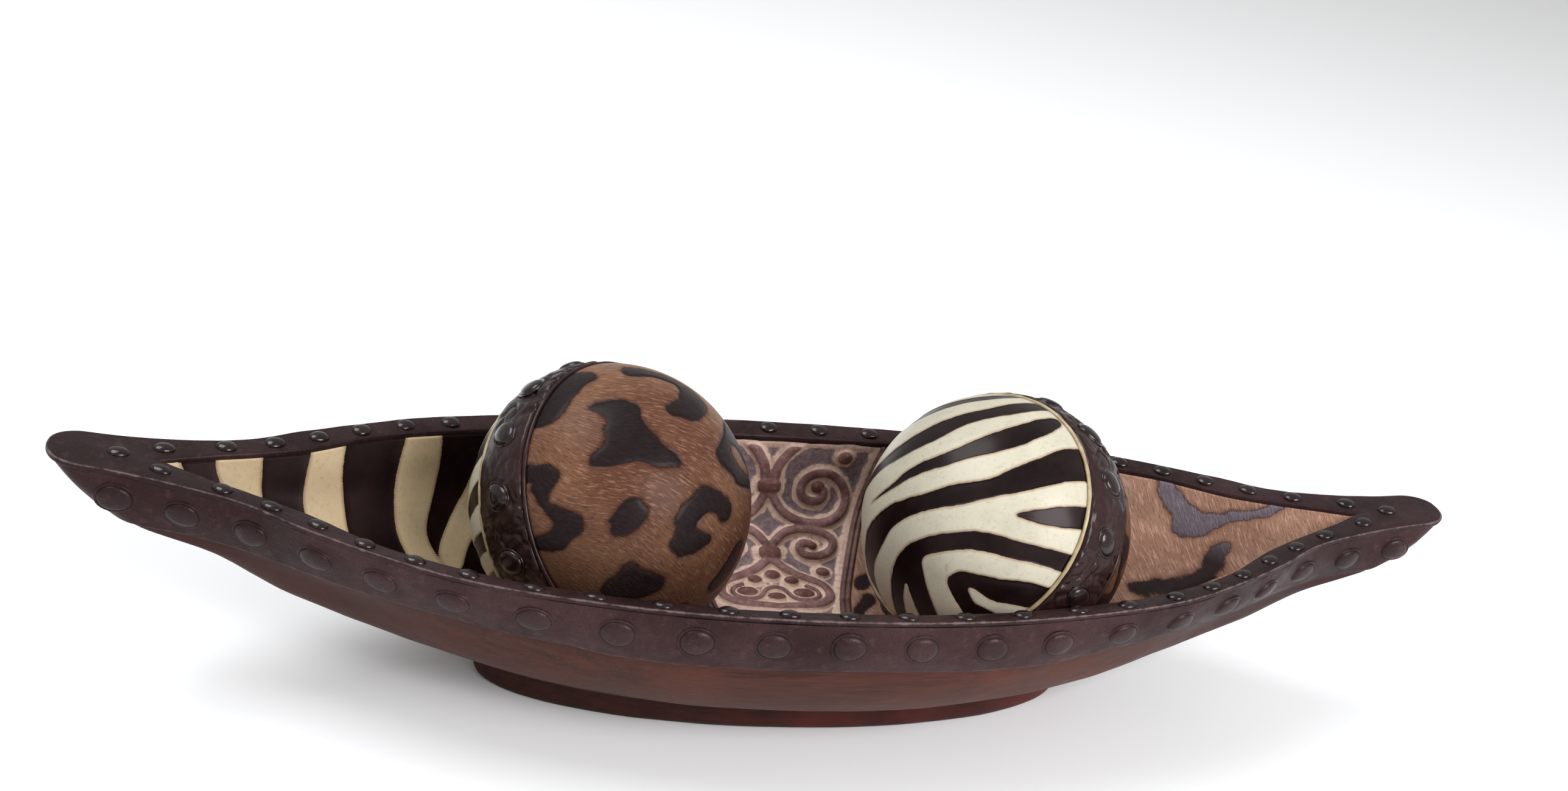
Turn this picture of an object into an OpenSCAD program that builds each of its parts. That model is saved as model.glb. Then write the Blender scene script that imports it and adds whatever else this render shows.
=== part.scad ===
// Long boat-shaped centrepiece bowl with two decorative orbs.
// Frame: X runs along the bowl, Y across it, Z up. The origin is at the middle of the foot's underside.

/* [Bowl] */
// Length of the bowl from nose to nose
bowl_len = 518; // [500:2:560]
// Width of the bowl across the widest part of its band
bowl_w = 146; // [142:1:158]
// Length of the oval foot
foot_len = 228; // [200:2:232]
// Width of the oval foot
foot_w = 73; // [60:1:76]
// Height of the foot
foot_h = 11; // [9:0.5:11]
// Height of the rim's outer edge at mid length
rim_z = 70.5; // [69:0.5:74]
// Height of the rim's outer edge at the noses
tip_z = 85; // [82:0.5:88]
// Thickness of the hide linings and the carved panel
lining_t = 1.5; // [1:0.1:2]
// Thickness of the leather on the side band
band_t = 2.5; // [1.5:0.1:3]
// Thickness of the leather on top of the rim
cap_t = 1.8; // [1.5:0.1:2.5]

/* [Studs] */
// Radius of the small studs along the rim
rim_stud_r = 2.9; // [2:0.1:3.2]
// Height of the small studs
rim_stud_h = 1.9; // [1:0.1:2.5]
// Radius of the large studs along the side band
band_stud_r = 6; // [4:0.1:7]
// Height of the large studs
band_stud_h = 2; // [1:0.1:3]

/* [Orbs] */
// Diameter of an orb across its hide caps
orb_d = 100; // [96:1:100]
// Width of the leather band round an orb
orb_band_w = 22; // [18:1:26]
// How far an orb's band is raised above its caps
orb_band_rise = 1; // [0.5:0.1:1.5]
// Number of studs round an orb's band
orb_studs = 14; // [10:1:14]
// Radius of an orb's studs
orb_stud_r = 5.4; // [4:0.1:5.6]
// Height of an orb's studs
orb_stud_h = 1.8; // [1:0.1:2]

/* [Hidden] */
$fn = 48;

wood = [0.36, 0.17, 0.11];
dark_wood = [0.26, 0.11, 0.08];
leather = [0.17, 0.11, 0.11];
stud_black = [0.07, 0.05, 0.05];
zebra = [0.85, 0.82, 0.66];
leopard = [0.62, 0.42, 0.24];
carved_tan = [0.66, 0.47, 0.36];
relief_brown = [0.40, 0.22, 0.16];
core_grey = [0.75, 0.74, 0.70];

// Every contour of the bowl is a closed ring round it. A ring is a row:
// [half length, half width, height at mid length, height at the tips, plan, plan mix, height power].
// The plan is one of the outlines below, given as [share of half length, share of half width].
top_plan = [[0, 1], [0.2, 0.97], [0.38, 0.88], [0.5, 0.778], [0.6, 0.627], [0.69, 0.457],
    [0.76, 0.304], [0.84, 0.215], [0.92, 0.165], [1, 0.15]];
low_plan = [[0, 1], [0.2, 0.98], [0.31, 0.92], [0.41, 0.815], [0.5, 0.715], [0.66, 0.505],
    [0.74, 0.37], [0.81, 0.26], [0.89, 0.185], [1, 0.15]];
inner_plan = [[0, 1], [0.22, 0.97], [0.44, 0.862], [0.55, 0.77], [0.68, 0.595], [0.79, 0.345],
    [0.86, 0.225], [0.93, 0.12], [1, 0]];
TOP = 0;
LOW = 1;
INNER = 2;
plans = [top_plan, low_plan, inner_plan];
// The share of the half length where a blunt nose starts to round off, and how square the nose is
nose_start = 0.952;
nose_power = 2.5;

// Rings of the visible basin, from the floor up to the underside of the rim's leather
basin = [
    [104, 17, 18.4, 19.4, INNER, 0, 2.5],
    [132, 34, 22.4, 27, INNER, 0.2, 2.5],
    [158, 47, 31, 38.5, INNER, 0.4, 2.5],
    [181, 57, 41, 50.5, INNER, 0.6, 2.5],
    [201, 61, 51, 61.5, INNER, 0.75, 2.5],
    [216, 62.3, 60.5, 71.5, INNER, 0.9, 2.3],
    [227, 62.7, rim_z - 2 - cap_t, tip_z - 4.6 - cap_t, INNER, 1, 2.5]];
rim_inner = [227, 62.7, rim_z - 2, tip_z - 4.6, INNER, 1, 2.5];
rim_outer = [262, 70.7, rim_z, tip_z, TOP, 1, 2.5];
band_top = [261.5, 71, rim_z - cap_t, tip_z - cap_t, TOP, 1, 2.5];
band_low = [242, 69.5, 49.4, 63, LOW, 1, 3];
// Rings of the wooden hull below the band, down to the edge that overhangs the foot
hull_rings = [
    [236, 67.3, 49.2, 60, LOW, 1, 3],
    [213, 65.5, 41, 52, LOW, 0.8, 2.5],
    [190, 60.5, 31, 38.5, LOW, 0.6, 2.5],
    [165, 53.5, 22, 28.5, LOW, 0.35, 2.5],
    [140, 45.5, 15.5, 20, LOW, 0.15, 2.5],
    [117, 38.5, foot_h, foot_h, LOW, 0, 2.5]];
// How far the middle of the side band bulges outwards
band_bulge = 2.7;

// Places of the studs along half of one side
rim_stud_places = [0, 21, 42, 64, 86, 106, 127, 144, 160, 175, 190, 206, 226];
tip_stud_place = 240;
band_stud_places = [0, 26, 52, 78, 105, 131, 154, 175, 196, 218, 242];
// How deep a stud's shank presses in
stud_depth = 0.8;

// Orbs: centre, tilt of the axis from upright, and heading of the axis
left_orb = [[-71.8, 2, 69.6], 123, 135];
right_orb = [[72.5, -4, 69.4], 56, -156];
cap_r = orb_d / 2;
core_r = cap_r - 3;
// The band lies a little to the zebra side of the middle
band_high = orb_band_w / 2 + 5;
band_low_edge = -orb_band_w / 2 + 5;
piping_w = 1.6;
piping_rise = 0.6;
orb_stud_start = 10;
orb_stud_sink = 0.25;

scale_x = bowl_len / 524;
scale_y = bowl_w / 146;

// Stations round a ring. The dividers lie between two fixed angles, so they run straight up the basin.
divider_in = 11.5;
divider_out = 13.7;
end_steps = 14;
mid_steps = 4;
half = 2 * end_steps + mid_steps + 2;
ring_n = 2 * half;
angles = concat(
    [for (i = [0 : end_steps]) -90 + i * (90 - divider_out) / end_steps],
    [for (i = [0 : mid_steps]) -divider_in + i * 2 * divider_in / mid_steps],
    [for (i = [0 : end_steps]) divider_out + i * (90 - divider_out) / end_steps]);

function span(x, pts, i = 0) = (i >= len(pts) - 2 || x < pts[i + 1][0]) ? i : span(x, pts, i + 1);
function slope(p, i) =
    let (a = max(i - 1, 0), b = min(i + 1, len(p) - 1)) (p[b][1] - p[a][1]) / (p[b][0] - p[a][0]);
// Smooth curve through the points
function curve(x, p) =
    let (i = span(x, p), h = p[i + 1][0] - p[i][0], t = (x - p[i][0]) / h,
        m0 = i == 0 ? 0 : slope(p, i) * h, m1 = slope(p, i + 1) * h)
    (2 * t ^ 3 - 3 * t ^ 2 + 1) * p[i][1] + (t ^ 3 - 2 * t ^ 2 + t) * m0
    + (3 * t ^ 2 - 2 * t ^ 3) * p[i + 1][1] + (t ^ 3 - t ^ 2) * m1;
function nose(u, kind) = (kind == INNER || u < nose_start) ? 1
    : (1 - ((u - nose_start) / (1 - nose_start)) ^ nose_power) ^ (1 / nose_power);
function plan(u, kind, mix) =
    u >= 1 ? 0 : mix * curve(u, plans[kind]) * nose(u, kind) + (1 - mix) * sqrt(1 - u * u);
// Point of a ring at the share u of its half length, on the side that sign gives
function ring_at(row, u, side) = [
    row[0] * u * scale_x,
    side * row[1] * plan(abs(u), row[4], row[5]) * scale_y,
    row[2] + (row[3] - row[2]) * abs(u) ^ row[6]];
function ring_point(row, i) =
    let (k = i <= half ? i : ring_n - i, tip = k == 0 || k == half)
    ring_at(row, sin(angles[k]), tip ? 0 : (i <= half ? 1 : -1));
function ring(row) = [for (i = [0 : ring_n - 1]) ring_point(row, i)];

// A ring moved square to the basin's section, out into the wood
function section_normal(a, b) = let (d = b - a) [d[1], -d[0]] / norm(d);
function under(rows, j, t) =
    let (last = len(rows) - 1, lo = rows[max(j - 1, 0)], hi = rows[min(j + 1, last)],
        side = section_normal([lo[1], lo[2]], [hi[1], hi[2]]),
        tip = section_normal([lo[0], lo[3]], [hi[0], hi[3]]), r = rows[j])
    j == last ? [r[0] + 1.4 * t, r[1] + t, r[2] + 0.2, r[3] + 0.2, r[4], r[5], r[6]]
    : j == 0 ? [r[0] + 0.3 * t, r[1] + 0.3 * t, r[2] - t, r[3] - t, r[4], r[5], r[6]]
    : [r[0] + t * tip[0], r[1] + t * side[0], r[2] + t * side[1], r[3] + t * tip[1], r[4], r[5], r[6]];
basin_under = [for (j = [0 : len(basin) - 1]) under(basin, j, lining_t)];

// The side band between its top and lower edges, with its bulge
function between(a, b, t, bulge) = [for (i = [0 : ring_n - 1])
    let (p = ring_point(a, i), q = ring_point(b, i), m = p * (1 - t) + q * t,
        u = abs(sin(angles[i <= half ? i : ring_n - i])))
    [m[0] + sign(m[0]) * bulge * 0.5 * u ^ 8,
        m[1] + sign(m[1]) * bulge * sin(180 * t) * (1 - 0.6 * u), m[2]]];
// Point in the middle of the band's height, at a share u of the length and t of the way down
function band_at(u, side, t) =
    let (p = ring_at(band_top, u, side), q = ring_at(band_low, u, side), m = p * (1 - t) + q * t)
    [m[0], m[1] + side * band_bulge * sin(180 * t) * (1 - 0.6 * abs(u)), m[2]];
function inset(row, t) = [row[0] - t, row[1] - t, row[2], row[3], row[4], row[5], row[6]];
band_top_in = [261.5 - 1.6 * band_t, 71 - band_t, rim_z - cap_t - 0.3, tip_z - cap_t - 0.3, TOP, 1, 2.5];
band_low_in = inset(band_low, band_t);
band_mid_in = between(band_top_in, band_low_in, 0.5, band_bulge);

// Triangles between ring lists of n points. The diagonal runs the same way wherever two pieces meet.
function strip(a, b, n, turn = false) = [for (i = [0 : n - 1])
    let (k = (i + 1) % n, p = a * n + i, q = a * n + k, r = b * n + k, s = b * n + i)
    each turn ? [[p, s, q], [q, s, r]] : [[p, s, r], [p, r, q]]];
// Flat strips that close a ring across the bowl
function close_ring(j, up) = [for (k = [0 : half - 1])
    let (a = j * ring_n + k, b = a + 1, c = j * ring_n + (ring_n - k - 1), d = j * ring_n + (ring_n - k) % ring_n)
    each [if (b != c) up ? [a, b, c] : [a, c, b], if (a != d) up ? [a, c, d] : [a, d, c]]];
function flat(lists) = [for (l = lists) each l];

// A closed band of rings, one after the other, whose last strip joins the first ring again
module ring_solid(rings, turned = []) {
    m = len(rings);
    polyhedron(points = flat(rings), faces = flat([for (j = [0 : m - 1])
        strip(j, (j + 1) % m, ring_n, len(search(j, turned)) > 0)]));
}

// A thin lining over part of the basin. The arc lists the ring's stations that it covers.
module lining(arc, gap) {
    n = len(arc);
    rows = len(basin);
    top = [for (r = basin) each [for (i = arc) ring_point(r, i)]];
    low = [for (r = basin_under) each [for (i = arc) ring_point(r, i)]];
    off = rows * n;
    cells = [for (a = [0 : n - 2]) if (!(gap && a == n / 2 - 1)) a];
    wall = flat([for (j = [0 : rows - 2], a = cells)
        let (p = j * n + a, q = p + 1, s = p + n, r = s + 1) [[p, s, r], [p, r, q]]]);
    floor_cells = [for (a = [0 : floor((n - 1) / 2) - 1]) a];
    bed = flat([for (a = floor_cells)
        let (b = a + 1, c = n - 2 - a, d = n - 1 - a)
        [if (b != c) [a, b, c], [a, c, d]]]);
    skin = concat(wall, bed);
    ends = gap ? [0, n / 2 - 1, n / 2, n - 1] : [0, n - 1];
    edges = concat(
        [for (a = cells) [(rows - 1) * n + a + 1, (rows - 1) * n + a]],
        flat([for (e = [0 : len(ends) - 1]) [for (j = [0 : rows - 2])
            let (p = j * n + ends[e], q = p + n) e % 2 == 0 ? [q, p, true] : [p, q]]]),
        gap ? [[0, n - 1], [n / 2, n / 2 - 1]] : [[0, n - 1]]);
    faces = concat(
        skin,
        [for (f = skin) [f[0] + off, f[2] + off, f[1] + off]],
        flat([for (e = edges) e[2]
            ? [[e[0], e[1], e[0] + off], [e[1], e[1] + off, e[0] + off]]
            : [[e[0], e[1], e[1] + off], [e[0], e[1] + off, e[0] + off]]]));
    polyhedron(points = concat(top, low), faces = faces);
}

module hull() {
    rows = concat([for (r = basin_under) ring(r)], [ring(band_top_in), band_mid_in, ring(band_low_in)],
        [for (r = hull_rings) ring(r)]);
    m = len(rows);
    color(wood) polyhedron(points = flat(rows), faces = concat(
        close_ring(0, true),
        flat([for (j = [0 : m - 2]) strip(j, j + 1, ring_n)]),
        close_ring(m - 1, false)));
}

module foot() {
    steps = 72;
    color(dark_wood) linear_extrude(foot_h)
        polygon([for (i = [0 : steps - 1])
            [foot_len / 2 * cos(i * 360 / steps), foot_w / 2 * sin(i * 360 / steps)]]);
}

// Leather strip over the rim, which also covers both solid noses
module rim_cap() {
    last = len(basin) - 1;
    color(leather) ring_solid([ring(basin[last]), ring(rim_inner), ring(rim_outer), ring(band_top),
        ring(band_top_in), ring(basin_under[last])], [3, 4]);
}

// Leather strip round the sides
module rim_band() {
    color(leather) ring_solid([ring(band_low_in), band_mid_in, ring(band_top_in), ring(band_top),
        between(band_top, band_low, 0.25, band_bulge), between(band_top, band_low, 0.5, band_bulge),
        between(band_top, band_low, 0.75, band_bulge), ring(band_low)], [0, 1]);
}

left_end = [for (m = [-end_steps : end_steps]) (m + ring_n) % ring_n];
right_end = [for (m = [-end_steps : end_steps]) half + m];
function across(from, to) = concat([for (k = [from : to]) k], [for (k = [to : -1 : from]) ring_n - k]);
module zebra_lining() { color(zebra) lining(left_end, false); }
module leopard_lining() { color(leopard) lining(right_end, false); }
module scroll_panel() { color(carved_tan) lining(across(end_steps + 1, end_steps + 1 + mid_steps), true); }
module divider_left() { color(dark_wood) lining(across(end_steps, end_steps + 1), true); }
module divider_right() {
    first = end_steps + 1 + mid_steps;
    color(dark_wood) lining(across(first, first + 1), true);
}

// Domed stud on its base plane, with a short shank that presses into the leather
module stud(r, h) {
    ball = (r * r + h * h) / (2 * h);
    difference() {
        translate([0, 0, h - ball]) sphere(ball);
        translate([-2 * ball, -2 * ball, -4 * ball - stud_depth]) cube(4 * ball);
    }
}
// Stands its children on a point, square to the surface
module stand(p, n) {
    translate(p) rotate([0, acos(n[2] / norm(n)), atan2(n[1], n[0])]) children();
}
function rim_at(x, side) =
    (ring_at(rim_inner, x / rim_inner[0], side) + ring_at(rim_outer, x / rim_outer[0], side)) / 2;
function rim_normal(x, side) = side * cross(rim_at(x + 1, side) - rim_at(x - 1, side),
    ring_at(rim_outer, x / rim_outer[0], side) - ring_at(rim_inner, x / rim_inner[0], side));
module rim_studs(side) {
    for (x = rim_stud_places, end = x == 0 ? [1] : [-1, 1])
        stand(rim_at(end * x, side), rim_normal(end * x, side)) stud(rim_stud_r, rim_stud_h);
}
module rim_studs_front() { color(stud_black) rim_studs(-1); }
module rim_studs_back() { color(stud_black) rim_studs(1); }
module tip_studs() {
    color(stud_black) for (end = [-1, 1])
        stand(rim_at(end * tip_stud_place, 0), [-end * 0.1, 0, 1]) stud(rim_stud_r, rim_stud_h);
}
function band_normal(u, side, t) = side * cross(band_at(u + 0.01, side, t) - band_at(u - 0.01, side, t),
    band_at(u, side, t - 0.1) - band_at(u, side, t + 0.1)) * -1;
module band_studs(side) {
    mean_half = (band_top[0] + band_low[0]) / 2;
    for (x = band_stud_places, end = x == 0 ? [1] : [-1, 1]) {
        u = end * x / mean_half;
        t = 0.38 + 0.16 * abs(u);
        stand(band_at(u, side, t), band_normal(u, side, t)) stud(band_stud_r, band_stud_h);
    }
}
module band_studs_front() { color(stud_black) band_studs(-1); }
module band_studs_back() { color(stud_black) band_studs(1); }

// An orb is built about its own axis: +Z points to the middle of its zebra cap.
module zone(r, low, high) {
    difference() {
        sphere(r);
        sphere(core_r);
        translate([-2 * r, -2 * r, high]) cube(4 * r);
        translate([-2 * r, -2 * r, low - 4 * r]) cube(4 * r);
    }
}
module pose(orb) {
    translate(orb[0]) rotate([0, orb[1], orb[2]]) children();
}
module core(orb) { color(core_grey) pose(orb) sphere(core_r); }
module zebra_cap(orb) { color(zebra) pose(orb) zone(cap_r, band_high + piping_w, 2 * cap_r); }
module zebra_piping(orb) { color(zebra) pose(orb) zone(cap_r + piping_rise, band_high, band_high + piping_w); }
module orb_band(orb) { color(leather) pose(orb) zone(cap_r + orb_band_rise, band_low_edge, band_high); }
module leopard_piping(orb) {
    color(leather) pose(orb) zone(cap_r + piping_rise, band_low_edge - piping_w, band_low_edge);
}
module leopard_cap(orb) { color(leopard) pose(orb) zone(cap_r, -2 * cap_r, band_low_edge - piping_w); }
module orb_stud_ring(orb) {
    band_r = cap_r + orb_band_rise;
    middle = (band_high + band_low_edge) / 2;
    lean = asin(middle / band_r);
    color(stud_black) pose(orb) for (i = [0 : orb_studs - 1])
        rotate([0, 90 - lean, orb_stud_start + i * 360 / orb_studs])
            translate([0, 0, band_r - orb_stud_sink]) stud(orb_stud_r, orb_stud_h + orb_stud_sink);
}

hull();
foot();
rim_cap();
rim_band();
zebra_lining();
leopard_lining();
scroll_panel();
divider_left();
divider_right();
rim_studs_front();
rim_studs_back();
tip_studs();
band_studs_front();
band_studs_back();
core(left_orb);  // left_core
zebra_cap(left_orb);  // left_zebra_cap
zebra_piping(left_orb);  // left_zebra_piping
orb_band(left_orb);  // left_band
leopard_piping(left_orb);  // left_leopard_piping
leopard_cap(left_orb);  // left_leopard_cap
orb_stud_ring(left_orb);  // left_orb_studs
core(right_orb);  // right_core
zebra_cap(right_orb);  // right_zebra_cap
zebra_piping(right_orb);  // right_zebra_piping
orb_band(right_orb);  // right_band
leopard_piping(right_orb);  // right_leopard_piping
leopard_cap(right_orb);  // right_leopard_cap
orb_stud_ring(right_orb);  // right_orb_studs
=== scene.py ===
"""Looks of the long leather-trimmed bowl and its two orbs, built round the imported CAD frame.

Every shape is worked out in millimetres in the CAD's own frame and turned into metres when its mesh is made.
"""
import math

import bpy
import numpy as np
from mathutils import Matrix, Vector, noise


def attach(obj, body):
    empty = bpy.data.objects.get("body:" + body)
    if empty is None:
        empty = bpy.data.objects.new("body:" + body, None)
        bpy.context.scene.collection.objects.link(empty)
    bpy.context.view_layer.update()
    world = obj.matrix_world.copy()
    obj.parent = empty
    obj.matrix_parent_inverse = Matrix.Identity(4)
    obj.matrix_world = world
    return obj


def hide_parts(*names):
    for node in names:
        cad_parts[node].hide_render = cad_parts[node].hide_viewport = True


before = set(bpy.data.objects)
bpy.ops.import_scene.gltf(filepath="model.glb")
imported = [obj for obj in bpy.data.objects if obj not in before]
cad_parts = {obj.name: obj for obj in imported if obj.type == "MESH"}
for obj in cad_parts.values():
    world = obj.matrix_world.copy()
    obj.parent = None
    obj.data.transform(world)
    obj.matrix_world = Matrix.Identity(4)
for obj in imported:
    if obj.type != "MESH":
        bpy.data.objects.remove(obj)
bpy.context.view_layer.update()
scene = bpy.context.scene
MM = 0.001

# ---------------- camera, light, floor
camera_data = bpy.data.cameras.new("camera")
camera_data.lens = 42.53
camera_data.sensor_width = 36
camera_data.clip_end = 50
camera = bpy.data.objects.new("camera", camera_data)
scene.collection.objects.link(camera)
camera.matrix_world = (
    Matrix.Translation((-0.1894, -0.5615, 0.3968))
    @ Matrix.Rotation(math.radians(-17.09), 4, "Z")
    @ Matrix.Rotation(math.radians(90 - 25.43), 4, "X")
    @ Matrix.Rotation(math.radians(10.9), 4, "Z")
)
scene.camera = camera
scene.view_settings.view_transform = "Standard"


def area_light(name, place, size, power, colour=(1, 1, 1), target=(0, 0, 0.05)):
    data = bpy.data.lights.new(name, "AREA")
    data.shape = "RECTANGLE"
    data.size, data.size_y = size
    data.energy = power
    data.color = colour
    light = bpy.data.objects.new(name, data)
    scene.collection.objects.link(light)
    light.location = place
    light.rotation_euler = (Vector(target) - Vector(place)).to_track_quat("-Z", "Y").to_euler()


area_light("top_softbox", (-0.6, 0.3, 1.4), (1.0, 0.8), 16, (0.95, 0.98, 1))
area_light("front_softbox", (0.9, -1.25, 1.15), (1.0, 0.9), 34, (0.97, 0.98, 1))
area_light("left_softbox", (-1.5, -1.1, 0.9), (0.9, 0.9), 1.5)
world = bpy.data.worlds.new("world")
world.use_nodes = True
world.node_tree.nodes["Background"].inputs["Color"].default_value = (1, 1, 1, 1)
world.node_tree.nodes["Background"].inputs["Strength"].default_value = 0.5
scene.world = world


# ---------------- material helpers
class Paint:
    """A node material with short ways to add the nodes that the pieces share."""

    def __init__(self, name, roughness=0.5, specular=0.5, coat=0.0, coat_roughness=0.1):
        self.mat = bpy.data.materials.new(name)
        self.mat.use_nodes = True
        self.tree = self.mat.node_tree
        self.shader = self.tree.nodes["Principled BSDF"]
        self.shader.inputs["Roughness"].default_value = roughness
        self.shader.inputs["Specular IOR Level"].default_value = specular
        self.shader.inputs["Coat Weight"].default_value = coat
        self.shader.inputs["Coat Roughness"].default_value = coat_roughness
        self.shader.inputs["Specular Tint"].default_value = (1, 0.7, 0.7, 1)
        self.shader.inputs["Coat Tint"].default_value = (1, 0.97, 0.97, 1)
        self.place = self.add("ShaderNodeTexCoord").outputs["Object"]

    def add(self, kind, *values, **settings):
        node = self.tree.nodes.new(kind)
        for key, value in settings.items():
            setattr(node, key, value)
        for socket, value in zip(node.inputs, values):
            self.put(socket, value)
        return node

    def put(self, socket, value):
        if value is None:
            return
        if isinstance(value, bpy.types.NodeSocket):
            self.tree.links.new(value, socket)
        else:
            socket.default_value = value

    def math(self, how, a, b=None):
        return self.add("ShaderNodeMath", a, b, operation=how).outputs[0]

    def stretch(self, scale, vector=None):
        node = self.add("ShaderNodeMapping")
        self.put(node.inputs["Vector"], vector or self.place)
        node.inputs["Scale"].default_value = scale
        return node.outputs[0]

    def noise(self, scale, detail=4, rough=0.55, vector=None, warp=0.0):
        node = self.add("ShaderNodeTexNoise")
        self.put(node.inputs["Vector"], vector or self.place)
        node.inputs["Scale"].default_value = scale
        node.inputs["Detail"].default_value = detail
        node.inputs["Roughness"].default_value = rough
        node.inputs["Distortion"].default_value = warp
        return node.outputs["Fac"]

    def cells(self, scale):
        node = self.add("ShaderNodeTexVoronoi", feature="SMOOTH_F1")
        self.put(node.inputs["Vector"], self.place)
        node.inputs["Scale"].default_value = scale
        return node.outputs["Distance"]

    def range(self, value, low, high, out_low=0.0, out_high=1.0):
        node = self.add("ShaderNodeMapRange", interpolation_type="SMOOTHSTEP")
        for socket, v in zip(node.inputs, (value, low, high, out_low, out_high)):
            self.put(socket, v)
        return node.outputs[0]

    def mix(self, fac, a, b):
        node = self.add("ShaderNodeMix", data_type="RGBA")
        self.put(node.inputs[0], fac)
        for socket, v in ((node.inputs[6], a), (node.inputs[7], b)):
            self.put(socket, v if isinstance(v, bpy.types.NodeSocket) else (*v, 1))
        return node.outputs[2]

    def value(self, name):
        """A number that the mesh carries on its points."""
        return self.add("ShaderNodeAttribute", attribute_name=name).outputs["Fac"]

    def vector(self, name):
        return self.add("ShaderNodeAttribute", attribute_name=name).outputs["Vector"]

    def bump(self, height, distance, strength=1.0, below=None):
        node = self.add("ShaderNodeBump")
        self.put(node.inputs["Height"], height)
        self.put(node.inputs["Normal"], below)
        node.inputs["Strength"].default_value = strength
        node.inputs["Distance"].default_value = distance
        return node.outputs[0]

    def done(self, colour=None, normal=None, roughness=None):
        self.put(self.shader.inputs["Base Color"], colour)
        self.put(self.shader.inputs["Normal"], normal)
        self.put(self.shader.inputs["Roughness"], roughness)
        return self.mat


def leather_paint(name, dark, light, shine, grain=900, coat=0.0):
    p = Paint(name, specular=0.15, coat=coat, coat_roughness=0.27 - 0.3 * coat)
    broad = p.noise(18, 5, 0.6)
    fine = p.noise(260, 5, 0.7)
    speck = p.noise(1400, 3, 0.6)
    colour = p.mix(p.range(broad, 0.35, 0.7), dark, light)
    colour = p.mix(p.range(fine, 0.5, 0.75, 0, 0.45), colour, tuple(c * 1.9 for c in light))
    colour = p.mix(p.range(speck, 0.3, 0.55, 0.35, 0), colour, tuple(c * 0.35 for c in dark))
    # Lighter colour where the mesh marks an edge: a painted highlight along the rim's outer edge, and scuffs
    # with a painted highlight along the band's lower edge.
    scuff_and_highlight = p.math("ADD", p.value("wear_and_highlight"), p.math("MULTIPLY", p.math("SUBTRACT", fine, 0.5), 1.6))
    colour = p.mix(p.range(scuff_and_highlight, 0.55, 1.15, 0, 0.75), colour, (0.17, 0.115, 0.115))
    pebbles = p.cells(grain)
    deep = 0.0005 if grain < 600 else 0.00022
    n1 = p.bump(p.noise(70, 4, 0.6), 0.0006, 0.6)
    n2 = p.bump(fine, 0.0003, 0.5, n1)
    n3 = p.bump(pebbles, deep, 0.5, n2)
    rough = p.range(p.noise(120, 4, 0.6), 0.3, 0.7, shine, shine + 0.18)
    return p.done(colour, n3, rough)


def wood_paint(name, dark, light, red, shine):
    p = Paint(name, specular=0.2)
    along = p.stretch((6, 90, 90))
    streak = p.noise(3.2, 6, 0.65, along, 0.3)
    hair = p.noise(22, 4, 0.7, p.stretch((3, 80, 80)))
    blotch = p.noise(14, 4, 0.6)
    colour = p.mix(p.range(streak, 0.3, 0.7), dark, light)
    colour = p.mix(p.range(blotch, 0.48, 0.72, 0, 0.7), colour, red)
    colour = p.mix(p.range(hair, 0.48, 0.72, 0, 0.5), colour, tuple(c * 1.7 for c in light))
    reach = p.math("ABSOLUTE", p.add("ShaderNodeSeparateXYZ", p.place).outputs["X"])
    colour = p.mix(p.range(reach, 0.1, 0.21, 0, 0.85), colour, (0.03, 0.015, 0.014))
    n1 = p.bump(hair, 0.00025, 0.5)
    n2 = p.bump(p.noise(160, 4, 0.6), 0.0003, 0.4, n1)
    return p.done(colour, n2, p.range(streak, 0.3, 0.7, shine, shine + 0.15))


def zebra_paint(name, cream, deep, stain, shine, coat=0.0):
    """The mesh carries how far each point is inside a dark stripe, in millimetres."""
    p = Paint(name, specular=0.12, coat=coat, coat_roughness=0.2)
    wobble = p.math("MULTIPLY", p.math("SUBTRACT", p.noise(420, 3, 0.6), 0.5), 0.55)
    edge = p.math("ADD", p.value("stripe"), wobble)
    dark = p.range(edge, -0.12, 0.12)
    rub = p.noise(60, 5, 0.65)
    fine = p.noise(700, 3, 0.7)
    light = p.mix(p.range(rub, 0.42, 0.75, 0, 0.5), cream, tuple(c * 0.72 for c in cream))
    light = p.mix(p.range(fine, 0.5, 0.8, 0, 0.35), light, stain)
    halo = p.range(edge, -1.3, -0.1, 0, 0.62)
    light = p.mix(halo, light, stain)
    night = p.mix(p.range(rub, 0.4, 0.7), deep, tuple(c * 2.2 for c in deep))
    colour = p.mix(dark, light, night)
    hair = p.noise(9, 4, 0.7, p.stretch((60, 60, 900)))
    n1 = p.bump(p.range(edge, -0.3, 0.3, 0.5, 0), 0.0003, 0.6)
    n2 = p.bump(p.noise(300, 4, 0.6), 0.00012, 0.5, n1)
    n3 = p.bump(hair, 0.00008, 0.4, n2)
    return p.done(colour, n3, p.range(rub, 0.3, 0.7, shine, shine + 0.12))


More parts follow.
